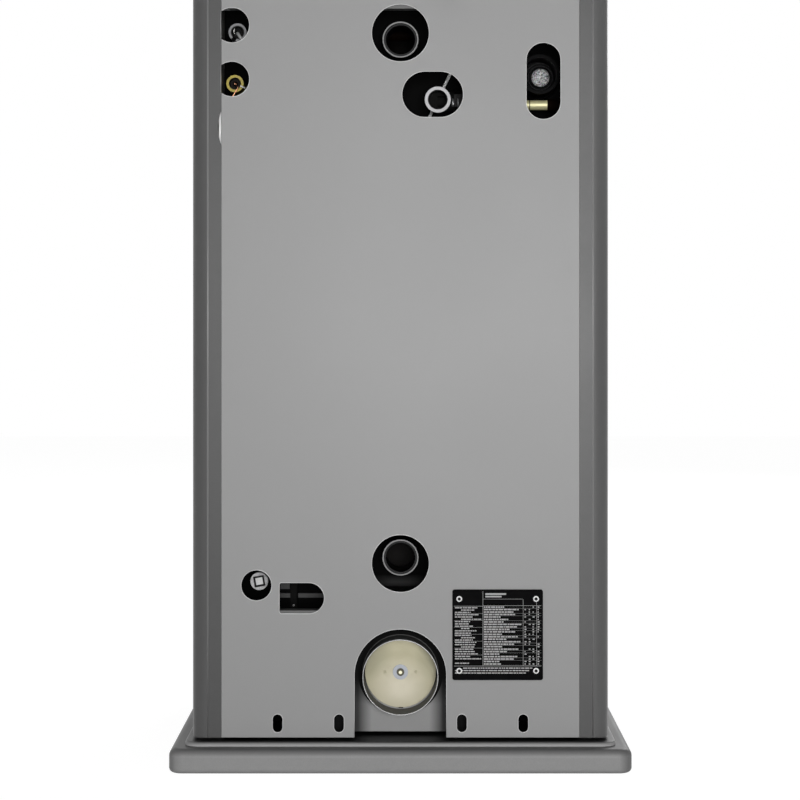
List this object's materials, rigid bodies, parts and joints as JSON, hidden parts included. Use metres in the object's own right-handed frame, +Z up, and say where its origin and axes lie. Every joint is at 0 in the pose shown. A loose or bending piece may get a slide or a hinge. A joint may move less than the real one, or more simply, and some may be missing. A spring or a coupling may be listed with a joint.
{
  "type": "boiler stove",
  "caption": "Free-standing solid-fuel boiler stove on a stepped plinth, with glazed fire door, ash drawer, smoke outlet, rear water connections and a chain-worked outside air flap.",
  "frame": {"origin": "on the floor, under the centre of the plinth", "axes": "+Z up, -Y towards the fire door, +Y towards the rear connections, +X to the right of someone who faces the fire door"},
  "size_m": [0.6, 0.615, 1.19],
  "materials": {
    "plinth": "satin",
    "chassis": "satin",
    "rails": "galvanised",
    "rear_cover": "fine texture",
    "side_cover": "satin",
    "top_casting": "matt",
    "black_steel": "matt",
    "front_casting": "matt",
    "plate_black": "satin",
    "rivet": "bright",
    "jacket_paint": "matt",
    "bare_plate": "mill scale",
    "copper": "drawn copper",
    "dark_pipe": "oiled",
    "zinc": "zinc plated",
    "galvanised": "hot-dip galvanised",
    "brass": "machined",
    "spring_steel": "bright",
    "mineral_wool": "felted",
    "air_box_grey": "satin",
    "spigot_steel": "galvanised",
    "yellow_zinc": "yellow passivated",
    "bead_chain": "bright",
    "regulator_brass": "cast",
    "black_plastic": "moulded",
    "ceramic_glass": "clear",
    "gasket_rope": "braided",
    "handle_steel": "satin",
    "raw_casting": "raw",
    "vermiculite": "pressed board",
    "needle_red": "painted"
  },
  "bodies": {
    "stove": {"base_plinth": "plinth", "chassis_frame": "chassis", "cross_rails": "rails", "rear_panel": "rear_cover", "side_panel_left": "side_cover", "side_panel_right": "side_cover", "top_plate": "top_casting", "flue_collar": "black_steel", "front_frame": "front_casting", "data_plate": "plate_black", "data_plate_rivets": "rivet", "boiler_shell": "jacket_paint", "firebox_jacket": "bare_plate", "smoke_tubes": "bare_plate", "smoke_box": "black_steel", "cooling_coil": "copper", "flow_pipe": "dark_pipe", "return_pipe": "dark_pipe", "drain_socket": "dark_pipe", "drain_plug": "zinc", "spare_socket": "dark_pipe", "spare_plug": "galvanised", "probe_socket": "zinc", "bulb_socket": "brass", "sensor_pockets": "dark_pipe", "capillary_tube": "copper", "sensor_clips": "spring_steel", "discharge_elbow": "zinc", "discharge_nut": "zinc", "discharge_pipe": "dark_pipe", "discharge_coupling": "brass", "insulation_pads": "mineral_wool", "ash_chamber": "jacket_paint", "air_box": "air_box_grey", "air_spigot": "spigot_steel", "chain_guide": "dark_pipe", "regulator_body": "regulator_brass", "door_hinge_pins": "spring_steel", "door_catch": "spring_steel", "hearth_plate": "raw_casting", "cast_liners": "raw_casting", "baffle_plate": "vermiculite", "thermometer": "handle_steel", "thermometer_needle": "needle_red"},
    "fire_door": {"fire_door": "front_casting", "door_glass": "ceramic_glass", "glass_clips": "zinc", "door_gasket": "gasket_rope"},
    "door_handle": {"door_handle": "handle_steel"},
    "ash_drawer": {"ash_drawer": "front_casting"},
    "shaker": {"grate": "raw_casting", "shaker_rod": "handle_steel"},
    "air_slider": {"air_slider": "handle_steel"},
    "regulator_knob": {"regulator_knob": "black_plastic"},
    "regulator_lever": {"regulator_lever": "zinc"},
    "chain_upper": {"chain_upper": "bead_chain"},
    "chain_lower": {"chain_lower": "bead_chain"},
    "air_flap": {"air_flap": "yellow_zinc", "flap_carrier": "zinc", "flap_fasteners": "zinc"}
  },
  "joints": [
    {"name": "fire_door_hinge", "type": "hinge", "parent": "stove", "child": "fire_door", "pos_m": [-0.195, -0.266, 0.575], "axis": [0, 0, -1], "range_deg": [0, 110]},
    {"name": "door_handle_turn", "type": "hinge", "parent": "fire_door", "child": "door_handle", "pos_m": [0.149, -0.28, 0.575], "axis": [0, -1, 0], "range_deg": [0, 45]},
    {"name": "ash_drawer_slide", "type": "slide", "parent": "stove", "child": "ash_drawer", "axis": [0, -1, 0], "range_m": [0, 0.28]},
    {"name": "shaker_slide", "type": "slide", "parent": "stove", "child": "shaker", "axis": [0, -1, 0], "range_m": [0, 0.025]},
    {"name": "air_slider_slide", "type": "slide", "parent": "stove", "child": "air_slider", "axis": [1, 0, 0], "range_m": [-0.02, 0.02]},
    {"name": "regulator_knob_turn", "type": "hinge", "parent": "stove", "child": "regulator_knob", "pos_m": [-0.05902, 0.27, 1.04724], "axis": [0, 1, 0], "range_deg": [0, 270]},
    {"name": "regulator_lever_lift", "type": "hinge", "parent": "stove", "child": "regulator_lever", "pos_m": [-0.05902, 0.1585, 1.04724], "axis": [0, 1, 0], "range_deg": [0, 42.32]},
    {"name": "chain_upper_slide", "type": "slide", "parent": "stove", "child": "chain_upper", "axis": [-0.4337, 0, 0.9011], "range_m": [0, 0.04877]},
    {"name": "chain_lower_slide", "type": "slide", "parent": "stove", "child": "chain_lower", "axis": [0, 0, 1], "range_m": [0, 0.04877]},
    {"name": "air_flap_hinge", "type": "hinge", "parent": "stove", "child": "air_flap", "pos_m": [0, 0.232, 0.184], "axis": [-1, 0, 0], "range_deg": [0, 40]}
  ],
  "couplings": [
    {"joint": "regulator_lever_lift", "follows": "regulator_knob_turn", "ratio": 0.15674},
    {"joint": "chain_upper_slide", "follows": "regulator_knob_turn", "m_per_rad": 0.010349},
    {"joint": "chain_lower_slide", "follows": "regulator_knob_turn", "m_per_rad": 0.010349},
    {"joint": "air_flap_hinge", "follows": "regulator_knob_turn", "ratio": 0.14815}
  ]
}
